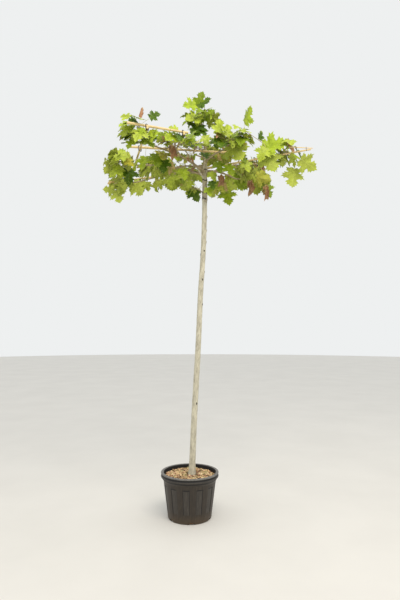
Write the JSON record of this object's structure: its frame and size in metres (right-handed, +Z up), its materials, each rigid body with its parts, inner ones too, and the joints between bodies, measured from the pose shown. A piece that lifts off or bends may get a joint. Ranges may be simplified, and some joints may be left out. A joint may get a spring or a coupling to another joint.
{
  "type": "roof-trained london plane tree in a nursery pot",
  "caption": "Young london plane with a bare stem and a flat, leafy crown trained over bamboo canes, standing in a ribbed black plastic pot of bark mulch.",
  "frame": {"origin": "centre of the pot's flat underside, on the ground that the pot stands on", "axes": "+Z up the tree; +X along the long side of the flat crown; +Y towards the back of the crown"},
  "size_m": [1.448, 1.1334, 2.6926],
  "materials": {
    "pot": "moulded black polypropylene, faded by sun",
    "bark_mulch": "chipped pine bark over moist compost",
    "trunk_bark": "smooth pale young bark with ring scars",
    "bough_bark": "smooth brown bark of young boughs",
    "bamboo": "dry bamboo cane, satin skin with dull rings",
    "tie": "black moulded strap",
    "foliage": "soft lobed leaves on green twigs"
  },
  "bodies": {
    "root": {"pot": "pot", "soil": "bark_mulch", "trunk": "trunk_bark", "leader": "bough_bark", "bough_back_left": "bough_bark", "bough_back_mid": "bough_bark", "bough_back_right": "bough_bark", "bough_centre_front": "bough_bark", "bough_centre_left": "bough_bark", "bough_centre_right": "bough_bark", "bough_front_left": "bough_bark", "bough_front_mid": "bough_bark", "bough_left_edge": "bough_bark", "bough_left_mid": "bough_bark", "bough_right_end": "bough_bark", "bough_right_front": "bough_bark", "bough_right_mid": "bough_bark", "cane_back": "bamboo", "cane_cross_centre": "bamboo", "cane_cross_left": "bamboo", "cane_front": "bamboo", "cane_middle": "bamboo", "cane_right": "bamboo", "tie_cross_centre_back": "tie", "tie_cross_centre_front": "tie", "tie_cross_centre_middle": "tie", "tie_cross_left_back": "tie", "tie_cross_left_front": "tie", "tie_cross_left_middle": "tie", "foliage_back_left": "foliage", "foliage_back_mid": "foliage", "foliage_back_right": "foliage", "foliage_centre_front": "foliage", "foliage_centre_right": "foliage", "foliage_front_left": "foliage", "foliage_front_mid": "foliage", "foliage_left_edge": "foliage", "foliage_left_mid": "foliage", "foliage_right_end": "foliage", "foliage_right_front": "foliage", "foliage_right_mid": "foliage", "foliage_top": "foliage", "foliage_trunk_left": "foliage", "foliage_trunk_right": "foliage"}
  },
  "joints": []
}
